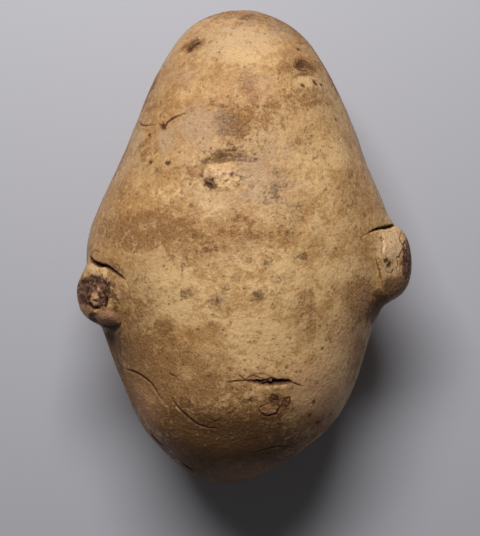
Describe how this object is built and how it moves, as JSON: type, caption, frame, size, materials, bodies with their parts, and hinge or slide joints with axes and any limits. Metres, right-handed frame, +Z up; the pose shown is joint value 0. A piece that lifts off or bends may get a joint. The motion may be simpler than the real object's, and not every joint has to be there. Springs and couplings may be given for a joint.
{
  "type": "potato",
  "caption": "Whole raw potato with a narrow crown, a blunt chin and a knob of second growth on either flank, lying on a small flat spot.",
  "frame": {"origin": "middle of the potato's bounding box, on the surface that it rests on", "axes": "+Z up, +Y from the blunt chin end to the narrow crown end, +X to the knob on its right"},
  "size_m": [0.0832, 0.12, 0.0597],
  "materials": {
    "potato_skin": "matte golden tan skin with brown netting, corky scars and pale scurf"
  },
  "bodies": {
    "root": {"potato": "potato_skin"}
  },
  "joints": []
}
